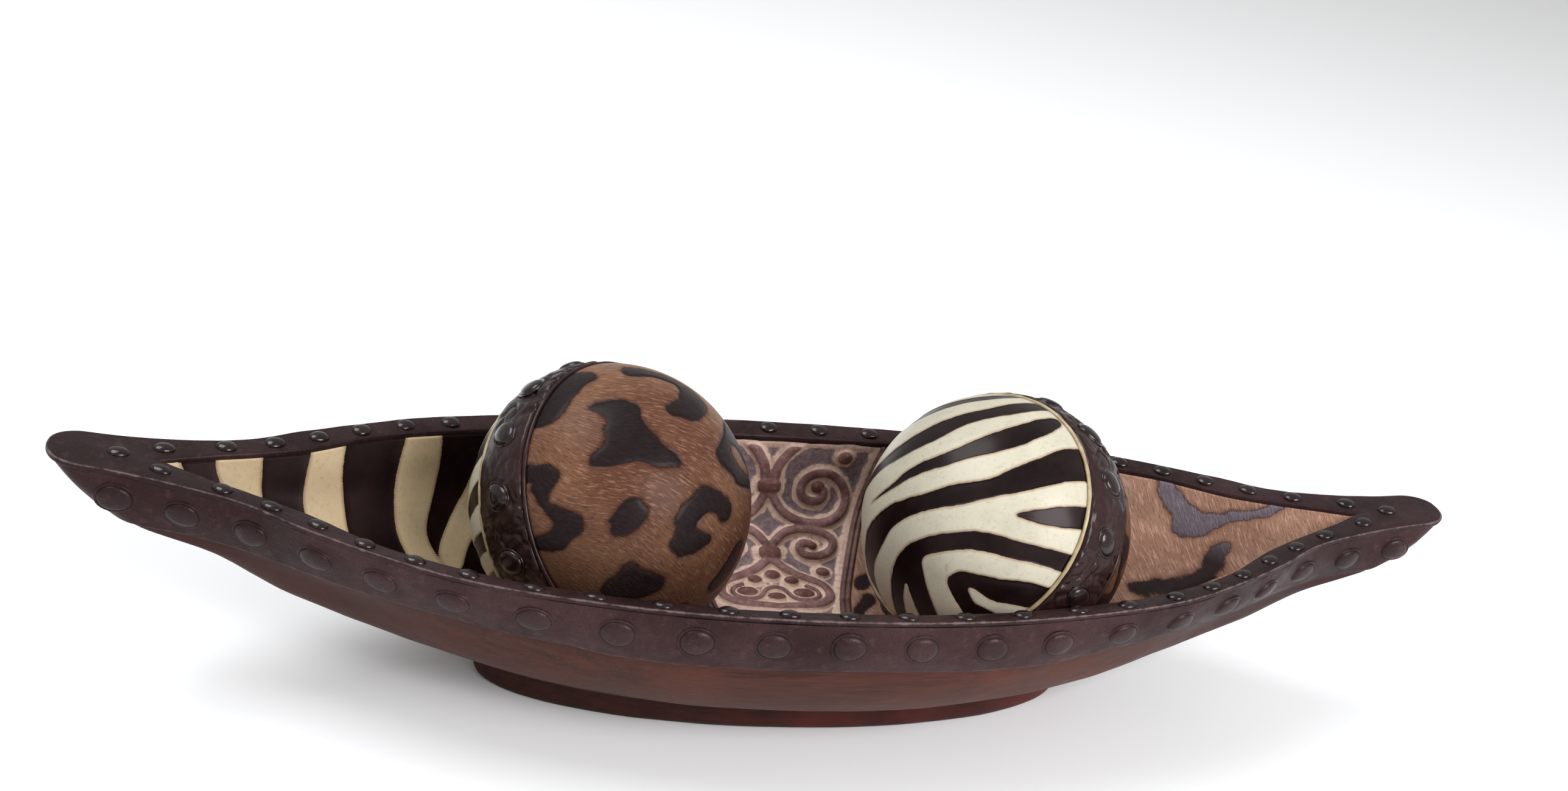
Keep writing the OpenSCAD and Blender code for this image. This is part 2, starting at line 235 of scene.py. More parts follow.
def leopard_paint(name, tan, deep, umber, spot, shine, low_spot, coat):
    """The mesh carries how far each point is inside a spot, and coordinates that run with the fur."""
    p = Paint(name, specular=0.1, coat=coat, coat_roughness=0.36)
    height = p.add("ShaderNodeSeparateXYZ", p.place).outputs["Z"]
    fur = p.vector("fur")
    strand = p.noise(1.0, 4, 0.72, p.stretch((1.7, 0.28, 1), fur), 0.1)
    comb = p.noise(1.0, 3, 0.6, p.stretch((1.25, 0.2, 1), fur), 0.1)
    broad = p.noise(26, 4, 0.55)
    wobble = p.math("MULTIPLY", p.math("SUBTRACT", strand, 0.5), 3.4)
    edge = p.math("ADD", p.value("spot"), wobble)
    colour = p.mix(p.range(broad, 0.35, 0.68), tan, deep)
    colour = p.mix(p.range(comb, 0.5, 0.66, 0, 0.55), colour, tuple(min(1, 0.05 + c * 1.5) for c in tan))
    colour = p.mix(p.range(strand, 0.34, 0.5, 0.7, 0), colour, umber)
    halo = p.range(edge, -2.2, 0.2, 0, 0.75)
    colour = p.mix(halo, colour, umber)
    night = p.mix(p.range(strand, 0.42, 0.7), spot, tuple(c * (3.2 - 12 * spot[0]) for c in spot))
    if low_spot:
        night = p.mix(p.range(height, 0.05, 0.062), low_spot, night)
    else:
        # Painted shade: the orb's colour darkens towards umber at the bottom of the ball.
        painted_shade = p.range(height, 0.04, 0.115, 0.92, 0)
        colour = p.mix(painted_shade, colour, umber)
    colour = p.mix(p.range(edge, -0.3, 0.35), colour, night)
    line = p.range(p.math("ABSOLUTE", edge), 0.1, 0.6, 0.7, 0)
    colour = p.mix(line, colour, tuple(c * 0.3 for c in umber))
    n1 = p.bump(strand, 0.0009, 0.75)
    n2 = p.bump(comb, 0.0006, 0.4, n1)
    return p.done(colour, n2, p.range(strand, 0.3, 0.7, shine + 0.12, shine))


# ---------------- the bowl's rings, as in the CAD
SCALE_X = 518 / 524
RIM_Z, TIP_Z, CAP_T = 70.5, 85.0, 1.8
PLANS = {
    "top": [(0, 1), (0.2, 0.97), (0.38, 0.88), (0.5, 0.778), (0.6, 0.627), (0.69, 0.457),
            (0.76, 0.304), (0.84, 0.215), (0.92, 0.165), (1, 0.15)],
    "low": [(0, 1), (0.2, 0.98), (0.31, 0.92), (0.41, 0.815), (0.5, 0.715), (0.66, 0.505),
            (0.74, 0.37), (0.81, 0.26), (0.89, 0.185), (1, 0.15)],
    "inner": [(0, 1), (0.22, 0.97), (0.44, 0.862), (0.55, 0.77), (0.68, 0.595), (0.79, 0.345),
              (0.86, 0.225), (0.93, 0.12), (1, 0)],
}
# half length, half width, height at mid length, height at the tips, plan mix, height power
BASIN = np.array([
    (104, 17, 18.4, 19.4, 0, 2.5),
    (132, 34, 22.4, 27, 0.2, 2.5),
    (158, 47, 31, 38.5, 0.4, 2.5),
    (181, 57, 41, 50.5, 0.6, 2.5),
    (201, 61, 51, 61.5, 0.75, 2.5),
    (216, 62.3, 60.5, 71.5, 0.9, 2.3),
    (227, 62.7, RIM_Z - 2 - CAP_T, TIP_Z - 4.6 - CAP_T, 1, 2.5),
])
RIM_INNER = (227, 62.7, RIM_Z - 2, TIP_Z - 4.6, 1, 2.5)
RIM_OUTER = (262, 70.7, RIM_Z, TIP_Z, 1, 2.5)
BAND_TOP = (261.5, 71, RIM_Z - CAP_T, TIP_Z - CAP_T, 1, 2.5)
BAND_LOW = (242, 69.5, 49.4, 63, 1, 3)
HULL = np.array([
    (239, 68, 52, 63, 1, 3),
    (236, 67.3, 49.2, 60, 1, 3),
    (213, 65.5, 41, 52, 0.8, 2.5),
    (190, 60.5, 31, 38.5, 0.6, 2.5),
    (165, 53.5, 22, 28.5, 0.35, 2.5),
    (140, 45.5, 15.5, 20, 0.15, 2.5),
    (117, 38.5, 11, 11, 0, 2.5),
])
BULGE = 2.7
N = 200  # stations along each side


def smooth(x, xs, ys, flat_start=False):
    """A smooth curve through the points, with the slopes that the CAD's curves have."""
    xs, ys = np.asarray(xs, float), np.asarray(ys, float)
    n = len(xs)
    lo, hi = np.maximum(np.arange(n) - 1, 0), np.minimum(np.arange(n) + 1, n - 1)
    s = (ys[hi] - ys[lo]) / (xs[hi] - xs[lo])
    if flat_start:
        s[0] = 0
    i = np.clip(np.searchsorted(xs, x, side="right") - 1, 0, n - 2)
    h = xs[i + 1] - xs[i]
    t = (x - xs[i]) / h
    return ((2 * t**3 - 3 * t**2 + 1) * ys[i] + (t**3 - 2 * t**2 + t) * s[i] * h
            + (3 * t**2 - 2 * t**3) * ys[i + 1] + (t**3 - t**2) * s[i + 1] * h)


def plan(u, kind, mix):
    points = np.array(PLANS[kind])
    u = np.clip(u, 0, 1)
    nose = 1.0
    if kind != "inner":
        nose = (1 - np.clip((u - 0.952) / 0.048, 0, 1) ** 2.5) ** 0.4
    shape = smooth(u, points[:, 0], points[:, 1], True) * nose
    return np.where(u >= 1, 0, mix * shape + (1 - mix) * np.sqrt(np.maximum(1 - u * u, 0)))


def ring_points(row, u, side, kind):
    a = np.abs(u)
    y = side * row[1] * plan(a, kind, row[4])
    z = row[2] + (row[3] - row[2]) * a ** row[5]
    return np.stack(np.broadcast_arrays(row[0] * u * SCALE_X, y, z), -1)


turn = np.radians(np.concatenate([
    np.linspace(-90, 90, N, endpoint=False),
    np.linspace(90, -90, N, endpoint=False),
]))
AROUND = np.sin(turn)
SIDE = np.concatenate([np.ones(N), -np.ones(N)])
BASIN_S = np.concatenate([[17], 17 + np.cumsum(np.hypot(np.diff(BASIN[:, 1]), np.diff(BASIN[:, 2])))])
RIM_S = BASIN_S[-1]


def basin_row(s):
    """The ring that lies a distance s up the basin from its middle line."""
    t = np.maximum(s, BASIN_S[0])
    return [smooth(t, BASIN_S, BASIN[:, k]) for k in range(6)]


def basin_at(x, v):
    """Points of the basin that shows, at x along the bowl and a signed distance v across from its middle."""
    x, v = np.broadcast_arrays(np.asarray(x, float), np.asarray(v, float))
    s = np.abs(v)
    row = basin_row(s)
    u = np.clip(x / (row[0] * SCALE_X), -1, 1)
    p = ring_points(row, u, np.where(v < 0, -1, 1), "inner")
    p[..., 1] *= np.minimum(s / BASIN_S[0], 1)
    return p


# ---------------- meshes
WELD = 0.002  # points closer than this, in millimetres, become one


def make_piece(name, points, faces, body, paint, nodes, values=None, vectors=None, weld=0.0):
    """A mesh from points in millimetres and a list of face arrays, with its numbers, body and nodes."""
    values, vectors = values or {}, vectors or {}
    mesh = bpy.data.meshes.new(name)
    points = np.asarray(points, float)
    loops = np.concatenate([f.ravel() for f in faces])
    counts = np.concatenate([np.full(len(f), f.shape[1]) for f in faces])
    if weld:
        _, first, back = np.unique(np.round(points / weld).astype(np.int64), axis=0,
                                   return_index=True, return_inverse=True)
        back = back.ravel()
        points = points[first]
        values = {k: np.asarray(a)[first] for k, a in values.items()}
        vectors = {k: np.asarray(a)[first] for k, a in vectors.items()}
        kept = []
        for f in faces:
            g = back[f]
            for row in g:
                r = [int(q) for i, q in enumerate(row) if q != row[i - 1]]
                if len(set(r)) > 2 and len(set(r)) == len(r):
                    kept.append(r)
        loops = np.array([q for r in kept for q in r])
        counts = np.array([len(r) for r in kept])
    mesh.vertices.add(len(points))
    mesh.vertices.foreach_set("co", (points * MM).astype(np.float32).ravel())
    mesh.loops.add(len(loops))
    mesh.loops.foreach_set("vertex_index", loops.astype(np.int32))
    mesh.polygons.add(len(counts))
    mesh.polygons.foreach_set("loop_start", np.concatenate([[0], np.cumsum(counts)[:-1]]).astype(np.int32))
    mesh.update(calc_edges=True)
    mesh.validate()
    for kind, field_name, carried in (("FLOAT", "value", values), ("FLOAT_VECTOR", "vector", vectors)):
        for key, array in carried.items():
            layer = mesh.attributes.new(key, kind, "POINT")
            layer.data.foreach_set(field_name, np.asarray(array, np.float32).ravel())
    mesh.polygons.foreach_set("use_smooth", np.ones(len(counts), bool))
    mesh.materials.append(paint)
    piece = bpy.data.objects.new(name, mesh)
    scene.collection.objects.link(piece)
    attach(piece, body)
    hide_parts(*nodes)
    return piece


def grid_faces(rows, cols, wrap_cols=False, wrap_rows=False, flip=False):
    i = np.arange(rows if wrap_rows else rows - 1)[:, None]
    j = np.arange(cols if wrap_cols else cols - 1)[None, :]
    a = i * cols + j
    b = i * cols + (j + 1) % cols
    c = (i + 1) % rows * cols + (j + 1) % cols
    d = (i + 1) % rows * cols + j
    quads = np.stack([a, b, c, d], -1).reshape(-1, 4)
    return quads[:, ::-1] if flip else quads


def grid_normals(g, wrap=True):
    """Unit normals of a grid of points, by the differences between its neighbours."""
    down = np.gradient(g, axis=0)
    if wrap:
        along = np.roll(g, -1, 1) - np.roll(g, 1, 1)
    else:
        along = np.gradient(g, axis=1)
    n = np.cross(along, down)
    length = np.linalg.norm(n, axis=-1, keepdims=True)
    return n / np.maximum(length, 1e-9)


def facing(normals, row, col, axis=2):
    """The normals, turned round if the one at (row, col) points down the axis."""
    return -normals if normals[row, col, axis] < 0 else normals


def field(points, scale, seed, octaves=3):
    """Smooth noise at points in millimetres, about -1 to 1."""
    flat = (np.asarray(points, float) / scale + seed).reshape(-1, 3)
    out = np.array([noise.fractal(Vector(q), 0.9, 2.0, octaves) for q in flat])
    return out.reshape(points.shape[:-1])


def ridges(points, scale, seed):
    """Crease lines: near 1 along wandering lines and 0 away from them."""
    flat = (np.asarray(points, float) / scale + seed).reshape(-1, 3)
    out = np.array([noise.noise(Vector(q)) + 0.35 * noise.noise(Vector(q) * 2.3) for q in flat])
    return np.exp(-(out.reshape(points.shape[:-1]) / 0.09) ** 2)


# ---------------- outlines
def rounded(points, times=2, closed=True):
    """Cuts the corners of an outline, so that it runs smoothly."""
    p = np.array(points, float)
    for _ in range(times):
        q = np.roll(p, -1, 0) if closed else p[1:]
        r = p if closed else p[:-1]
        cut = np.stack([0.75 * r + 0.25 * q, 0.25 * r + 0.75 * q], 1).reshape(-1, 2)
        p = cut if closed else np.concatenate([p[:1], cut, p[-1:]])
    return p


def line_distance(points, line, closed=False):
    """Distance of each point to a polyline."""
    a = line if closed else line[:-1]
    b = np.roll(line, -1, 0) if closed else line[1:]
    best = np.full(len(points), 1e9)
    for p, q in zip(a, b):
        d = q - p
        t = np.clip(((points - p) @ d) / max(d @ d, 1e-9), 0, 1)
        best = np.minimum(best, np.hypot(*(points - p - t[:, None] * d).T))
    return best


def inside_by(points, outline):
    """How far each point is inside a closed outline, and below zero outside it."""
    line = rounded(outline)
    x, y = points.T
    within = np.zeros(len(points), bool)
    for (x0, y0), (x1, y1) in zip(line, np.roll(line, -1, 0)):
        if y0 != y1:
            within ^= ((y0 > y) != (y1 > y)) & (x < (x1 - x0) * (y - y0) / (y1 - y0) + x0)
    return line_distance(points, line, True) * np.where(within, 1, -1)


def any_of(points, outlines):
    best = np.full(len(points), -99.0)
    for o in outlines:
        o = np.array(o, float)
        near = np.all((points > o.min(0) - 9) & (points < o.max(0) + 9), 1)
        if near.any():
            best[near] = np.maximum(best[near], inside_by(points[near], o))
    return best


def blot(cx, cy, rx, ry, tilt, wave):
    """A lobed spot round a centre."""
    t = np.radians(np.arange(0, 360, 20))
    r = 1 + 0.22 * np.sin(2 * t + wave) + 0.2 * np.sin(3 * t + 2.1 * wave)
    x, y = rx * r * np.cos(t), ry * r * np.sin(t)
    c, s = math.cos(math.radians(tilt)), math.sin(math.radians(tilt))
    return np.stack([cx + c * x - s * y, cy + s * x + c * y], 1)


# ---------------- materials
rim_paint = leather_paint("rim_leather", (0.012, 0.0055, 0.0055), (0.034, 0.017, 0.018), 0.38, 1100, 0.08)
band_paint = leather_paint("band_leather", (0.021, 0.0095, 0.0095), (0.05, 0.025, 0.026), 0.44, 1100)
orb_leather_paint = leather_paint(
    "orb_leather", (0.01, 0.0042, 0.0036), (0.026, 0.0115, 0.0105), 0.32, 520, 0.28)
stud_paint = leather_paint("stud_gloss", (0.006, 0.003, 0.003), (0.015, 0.0075, 0.0075), 0.22, 1500, 0.6)
band_stud_paint = leather_paint(
    "band_stud_gloss", (0.017, 0.008, 0.008), (0.042, 0.021, 0.022), 0.34, 1300, 0.1)
hull_paint = wood_paint(
    "hull_wood", (0.026, 0.008, 0.0052), (0.07, 0.0235, 0.0155), (0.098, 0.027, 0.016), 0.46)
foot_paint = wood_paint(
    "foot_wood", (0.014, 0.0042, 0.003), (0.036, 0.0105, 0.0075), (0.1, 0.017, 0.012), 0.44)
divider_paint = wood_paint(
    "divider_wood", (0.06, 0.029, 0.026), (0.17, 0.098, 0.085), (0.25, 0.15, 0.13), 0.34)
zebra_hide_paint = zebra_paint(
    "zebra_hide", (0.45, 0.345, 0.21), (0.0045, 0.0018, 0.0016), (0.2, 0.12, 0.06), 0.36)
zebra_orb_paint = zebra_paint(
    "zebra_orb", (0.53, 0.495, 0.39), (0.006, 0.003, 0.003), (0.26, 0.13, 0.055), 0.3, 0.14)
leopard_hide_paint = leopard_paint(
    "leopard_hide", (0.37, 0.215, 0.15), (0.27, 0.145, 0.098), (0.14, 0.066, 0.04),
    (0.115, 0.094, 0.112), 0.36, (0.016, 0.009, 0.009), 0.05)
leopard_orb_paint = leopard_paint(
    "leopard_orb", (0.2, 0.095, 0.05), (0.1, 0.037, 0.019), (0.034, 0.012, 0.0065),
    (0.0065, 0.0033, 0.0035), 0.34, None, 0.16)

trim = Paint("cream_trim", roughness=0.35, coat=0.2)
trim_colour = trim.mix(trim.range(trim.noise(220, 4, 0.6), 0.35, 0.65), (0.42, 0.35, 0.21), (0.3, 0.22, 0.11))
trim_paint = trim.done(trim_colour, trim.bump(trim.noise(500, 3, 0.6), 0.0002, 0.4))
core_mix = Paint("orb_core", roughness=0.85)
core_colour = core_mix.mix(core_mix.noise(90, 5, 0.6), (0.45, 0.43, 0.38), (0.62, 0.6, 0.55))
core_paint = core_mix.done(core_colour, core_mix.bump(core_mix.noise(600, 4, 0.6), 0.0004, 0.4))


def carved_paint():
    """Tan ground with a purple-grey wash that lies away from the raised work."""
    p = Paint("carved_wood", roughness=0.5, specular=0.2, coat=0.05, coat_roughness=0.3)
    away = p.value("away")
    high = p.value("relief")
    patch = p.noise(130, 5, 0.65)
    fine = p.noise(520, 4, 0.7)
    wash = p.range(p.math("ADD", away, p.math("MULTIPLY", p.math("SUBTRACT", patch, 0.5), 5)), 1.0, 1.8)
    ground = p.mix(p.range(fine, 0.4, 0.7), (0.72, 0.52, 0.42), (0.52, 0.35, 0.275))
    purple = p.mix(p.range(fine, 0.35, 0.65), (0.085, 0.06, 0.075), (0.24, 0.17, 0.19))
    colour = p.mix(p.math("MULTIPLY", wash, 0.9), ground, purple)
    brown = p.mix(p.range(patch, 0.35, 0.65), (0.15, 0.075, 0.069), (0.27, 0.15, 0.14))
    brown = p.mix(p.math("MULTIPLY", p.value("knob"), 0.7), brown, (0.14, 0.056, 0.046))
    wear_and_highlight = p.mix(p.range(fine, 0.52, 0.75, 0, 0.4), brown, (0.55, 0.36, 0.28))
    colour = p.mix(p.range(high, 0.3, 0.62), colour, wear_and_highlight)
    n1 = p.bump(fine, 0.0004, 0.5)
    n2 = p.bump(patch, 0.0008, 0.3, n1)
    return p.done(colour, n2, p.range(high, 0, 1, 0.58, 0.36))


panel_paint = carved_paint()

# ---------------- patterns
# Zebra hide of the left end: cream stripes as outlines in (x along the bowl, distance up the far side)
HIDE_CREAM = [
    [(-240, 99), (-219, 99), (-219, 92), (-216, 86), (-213, 80), (-240, 70)],
    [(-206, 99), (-207, 92), (-207, 88), (-205, 83), (-202, 76), (-198, 68), (-188, 62), (-189, 70),
     (-192, 78), (-192, 84), (-192, 92), (-192, 99)],
    [(-175, 99), (-176, 90), (-178, 77), (-177, 70), (-174, 60), (-168, 50), (-155, 44), (-158, 54),
     (-162, 62), (-164, 74), (-165, 83), (-164, 91), (-164, 99)],
    [(-142, 99), (-142, 92), (-144, 84), (-146, 74), (-145, 62), (-142, 53), (-136, 42), (-127, 30),
     (-116, 18), (-108, 0), (-98, 0), (-104, 18), (-115, 33), (-127, 44), (-132, 52), (-134, 60),
     (-131, 70), (-129, 82), (-129, 92), (-129, 99)],
    [(-110, 99), (-112, 90), (-116, 78), (-119, 70), (-123, 64), (-127, 56), (-129, 49), (-126, 41),
     (-120, 40), (-118, 49), (-115, 54), (-108, 60), (-103, 70), (-99, 82), (-96, 92), (-96, 99)],
    [(-76, 99), (-79, 88), (-84, 76), (-88, 64), (-92, 52), (-96, 42), (-96, 30), (-90, 14), (-88, 0),
     (-76, 0), (-78, 16), (-82, 30), (-81, 44), (-76, 56), (-70, 70), (-65, 84), (-62, 99)],
    [(-46, 99), (-48, 84), (-52, 70), (-56, 56), (-62, 42), (-66, 26), (-66, 10), (-64, 0), (-54, 0),
     (-55, 14), (-52, 30), (-46, 44), (-40, 60), (-36, 80), (-34, 99)],
]
# Leopard hide of the right end, in the same way
HIDE_SPOTS = [
    [(156, 92), (156, 86), (158, 83), (161, 80), (160, 74), (162, 72), (166, 72), (171, 74), (176, 78),
     (181, 82), (188, 84), (194, 86), (198, 89), (201, 93), (196, 92), (193, 89), (189, 88), (182, 86),
     (176, 84), (171, 83), (168, 84), (164, 87), (162, 91)],
    [(182, 73), (178, 66), (173, 60), (169, 56), (157, 50), (144, 45), (142, 48), (150, 52), (160, 55),
     (167, 60), (171, 64), (173, 69), (177, 72)],
    [(137, 70), (142, 67), (144, 62), (141, 56), (136, 57), (133, 64)],
    [(46, 86), (52, 88), (54, 80), (50, 76), (46, 79)],
    [(34, 30), (38, 35), (43, 36), (42, 29), (38, 27)],
    [(30, 14), (36, 22), (40, 27), (43, 21), (37, 16), (34, 10)],
    blot(62, 66, 8, 6, 20, 1), blot(84, 48, 7, 9, 40, 2), blot(58, 20, 7, 7, 0, 3),
    blot(104, 74, 9, 6, -20, 1.6), blot(96, 22, 8, 6, 30, 2.4), blot(122, 42, 7, 6, 10, 0.4),
    blot(124, 84, 7, 5, 0, 3.3), blot(78, 84, 7, 5, 0, 2.7),
]
NEAR_SPOTS = [
    blot(60, -18, 7, 6, 20, 2.2), blot(56, -58, 8, 6, 60, 0.6), blot(80, -40, 9, 6, -30, 1.4),
    blot(88, -78, 8, 6, 0, 3), blot(104, -24, 6, 5, 0, 2), blot(112, -56, 9, 6, 30, 1),
    blot(128, -82, 8, 5, -10, 0.2), blot(142, -54, 8, 5, 20, 2.6), blot(160, -78, 9, 5, -20, 1.8),
    blot(186, -84, 8, 4, 0, 0.9), blot(54, -84, 6, 5, 0, 1.1),
]
# Orb patterns, in millimetres over the ball from the middle of each cap
ZEBRA_DARK = [
    [(-70, -6), (-58, -6), (-46, -7), (-36, -9), (-28, -14), (-20, -18), (-14, -21), (-5, -26), (5, -33),
     (13, -42), (18, -52), (20, -66), (30, -66), (25, -50), (17, -37), (6, -27), (-1, -19), (-7, -15),
     (-16, -9), (-25, -7), (-34, -3), (-42, 1), (-56, 2), (-70, 2)],
    [(-70, -15), (-53, -14), (-44, -16), (-34, -22), (-24, -29), (-15, -36), (-8, -46), (-4, -66),
     (-13, -66), (-17, -51), (-24, -41), (-33, -31), (-43, -24), (-54, -20), (-70, -21)],
    [(-58, -30), (-44, -35), (-34, -43), (-27, -53), (-25, -66), (-36, -66), (-39, -54), (-47, -44),
     (-60, -38)],
    [(-59, 9), (-50, 8), (-42, 8), (-33, 6), (-23, 3), (-15, 0), (-9, -4), (-1, -10), (10, -15), (16, -20),
     (21, -24), (14, -17), (9, -12), (3, -8), (-3, -3), (-8, 2), (-13, 5), (-23, 12), (-32, 16), (-40, 17),
     (-49, 17), (-58, 14)],
    [(-66, 34), (-52, 28), (-45, 26), (-35, 25), (-25, 22), (-15, 19), (-10, 15), (-4, 9), (2, 4), (10, -4),
     (16, -11), (23, -16), (30, -21), (37, -22), (44, -23), (52, -22), (68, -20), (68, -9), (50, -13),
     (42, -12), (37, -10), (30, -7), (23, -5), (18, -2), (12, 3), (6, 9), (-1, 17), (-9, 23), (-17, 29),
     (-27, 35), (-38, 39), (-52, 50)],
    [(33, -30), (42, -33), (54, -32), (70, -34), (70, -46), (52, -42), (40, -44), (32, -52), (28, -66),
     (36, -66), (24, -60), (24, -48), (27, -38)],
    [(-9, 33), (-14, 36), (-19, 40), (-29, 47), (-42, 58), (-32, 64), (-20, 52), (-13, 43), (-11, 38)],
    [(-16, 68), (-9, 54), (-6, 48), (-2, 40), (1, 32), (4, 26), (9, 20), (14, 14), (19, 9), (24, 5),
     (31, 2), (40, 1), (48, 1), (68, 1), (66, 40), (52, 30), (41, 24), (33, 18), (28, 15), (25, 13),
     (22, 14), (18, 19), (12, 26), (8, 33), (5, 41), (1, 50), (-2, 58), (-5, 68)],
    [(4, 70), (8, 54), (11, 48), (14, 43), (16, 38), (18, 33), (20, 28), (23, 26), (26, 25), (30, 28),
     (33, 32), (38, 38), (48, 50), (40, 62), (24, 70)],
]
ZEBRA_CREAM = [
    [(36, 9), (43, 8), (52, 9), (68, 11), (66, 20), (52, 19), (43, 13)],
    [(25, 33), (23, 35), (24, 40), (24, 44), (21, 52), (16, 70), (26, 70), (29, 54), (29, 44), (29, 40),
     (29, 37)],
]
LEOPARD_SPOTS = [
    [(-47, 26), (-46, 20), (-42, 13), (-37, 11), (-31, 16), (-25, 15), (-22, 16), (-13, 11), (-11, 13),
     (-14, 21), (-18, 24), (-20, 27), (-21, 33), (-24, 40), (-28, 40), (-30, 31), (-35, 29), (-37, 25),
     (-40, 24), (-45, 25)],
    [(-8, 35), (-6, 31), (0, 31), (4, 36), (4, 42), (1, 45), (-1, 43), (-3, 44), (-6, 39)],
    [(-2, 8), (1, 2), (7, -3), (11, -4), (14, -1), (14, 3), (9, 5), (7, 9), (10, 16), (13, 14), (16, 9),
     (18, 9), (19, 13), (20, 18), (19, 23), (13, 27), (9, 23), (4, 22), (0, 14)],
    [(-15, -21), (-12, -14), (-10, -5), (-5, -5), (0, -10), (5, -12), (9, -20), (11, -30), (5, -35),
     (-5, -37), (-14, -34), (-18, -28)],
    [(-56, -4), (-51, -2), (-47, -10), (-42, -15), (-37, -17), (-32, -8), (-32, 3), (-28, 3), (-23, -4),
     (-22, -9), (-24, -20), (-28, -23), (-34, -25), (-41, -23), (-50, -17), (-57, -11)],
    [(-66, 6), (-61, 5), (-58, 10), (-58, 20), (-56, 25), (-53, 31), (-50, 37), (-51, 44), (-56, 49),
     (-80, 44), (-80, 10)],
    [(-40, 62), (-35, 54), (-30, 51), (-27, 51), (-24, 56), (-21, 59), (-18, 60), (-15, 57), (-9, 52),
     (-5, 52), (-2, 53), (0, 59), (3, 61), (2, 67), (-1, 74), (-6, 69), (-6, 64), (-9, 61), (-13, 62),
     (-18, 63), (-23, 63), (-28, 63), (-31, 61), (-33, 68), (-38, 74)],
    [(15, 43), (15, 40), (19, 37), (22, 33), (24, 29), (28, 28), (31, 31), (32, 40), (27, 52), (22, 51),
     (20, 47), (18, 45)],
    [(24, -9), (28, -3), (33, 3), (38, 8), (42, 4), (38, -6), (32, -12), (26, -14)],
    blot(48, 24, 8, 6, 40, 1.2), blot(38, -32, 9, 7, 0, 2.5), blot(58, -6, 7, 8, 20, 0.5),
    blot(14, -52, 8, 7, 10, 1.9), blot(-22, -54, 9, 6, 60, 2.9), blot(-48, -40, 7, 8, 0, 3.6),
    blot(48, -50, 7, 6, 0, 0.8), blot(46, 50, 7, 8, 0, 2.2),
]
SPOT_HOLES = [
    [(-9, -18), (-6, -15), (0, -18), (4, -22), (6, -28), (2, -29), (-4, -25), (-8, -22)],
]


# ---------------- linings, panel and dividers
PANEL_AXIS = 2.5
EDGE_V = [0, 20, 40, 60, 75, 90.8]
PANEL_HALF = [23, 25, 30, 35, 39.5, 44]
STRIP_W = [4.3, 4.5, 4.5, 4.3, 4, 3.8]


def panel_edge(v, part=0.0):
    """Half width of the carved panel a distance v up the basin, plus a share of the divider beside it."""
    a = np.abs(v)
    return smooth(a, EDGE_V, PANEL_HALF, True) + part * smooth(a, EDGE_V, STRIP_W, True)


def thin(piece, thickness):
    """Gives a sheet its thickness, away from the side that shows."""
    solid = piece.modifiers.new("thickness", "SOLIDIFY")
    solid.thickness = thickness * MM
    solid.offset = -1
    return piece


def end_lining(name, end, paint, node, outlines, near_outlines, dent):
    """The lining of one end, as strips that run round the tip of the bowl."""
    cols, rows = 130, 100
    v = np.linspace(0, RIM_S, rows)
    q = np.concatenate([np.linspace(0, 1, cols), np.linspace(1, 0, cols)[1:]])
    side = np.concatenate([np.ones(cols), -np.ones(cols - 1)])
    s = np.repeat(v[:, None], len(q), 1)
    row = basin_row(s)
    start = PANEL_AXIS * end + panel_edge(s, 1.0)
    tip = row[0] * SCALE_X
    x = end * (start + (tip - start) * np.sin(q[None, :] * math.pi / 2))
    g = basin_at(x, s * side[None, :])
    flat = np.stack([x.ravel(), (s * side[None, :]).ravel()], 1)
    far = flat.copy()
    if near_outlines is None:
        far[:, 0] += np.where(flat[:, 1] < 0, 3 * np.sin(g[..., 1].ravel() / 16), 0)
        far[:, 1] = np.abs(flat[:, 1])
        mark = -any_of(far, outlines)
    else:
        mark = any_of(far, outlines + near_outlines) + 0.9 * field(g.reshape(-1, 3), 4.5, 6.6, 2)
    mark = mark.reshape(s.shape)
    normal = grid_normals(g, wrap=False)
    if normal[rows // 2, 20, 2] < 0 or normal[5, cols // 2, 2] < 0:
        normal = -normal
    if end < 0:
        lower = np.clip((mark + 0.5) / 1.0, 0, 1)
    else:
        lower = np.exp(-(mark / 0.8) ** 2)
    g = g - normal * (dent * lower)[..., None]
    fur = np.stack([flat[:, 0] + 0.3 * flat[:, 1], flat[:, 1], 0 * flat[:, 0]], 1)
    key = "stripe" if near_outlines is None else "spot"
    piece = make_piece(name, g.reshape(-1, 3), [grid_faces(rows, len(q), flip=end > 0)], "bowl", paint,
                       [node], {key: mark.ravel()}, {"fur": fur}, weld=WELD)
    return thin(piece, 1.2)


end_lining("zebra_hide_lining", -1, zebra_hide_paint, "zebra_lining",
           HIDE_CREAM, None, 0.45)
end_lining("leopard_hide_lining", 1, leopard_hide_paint, "leopard_lining",
           HIDE_SPOTS, NEAR_SPOTS, 0.25)

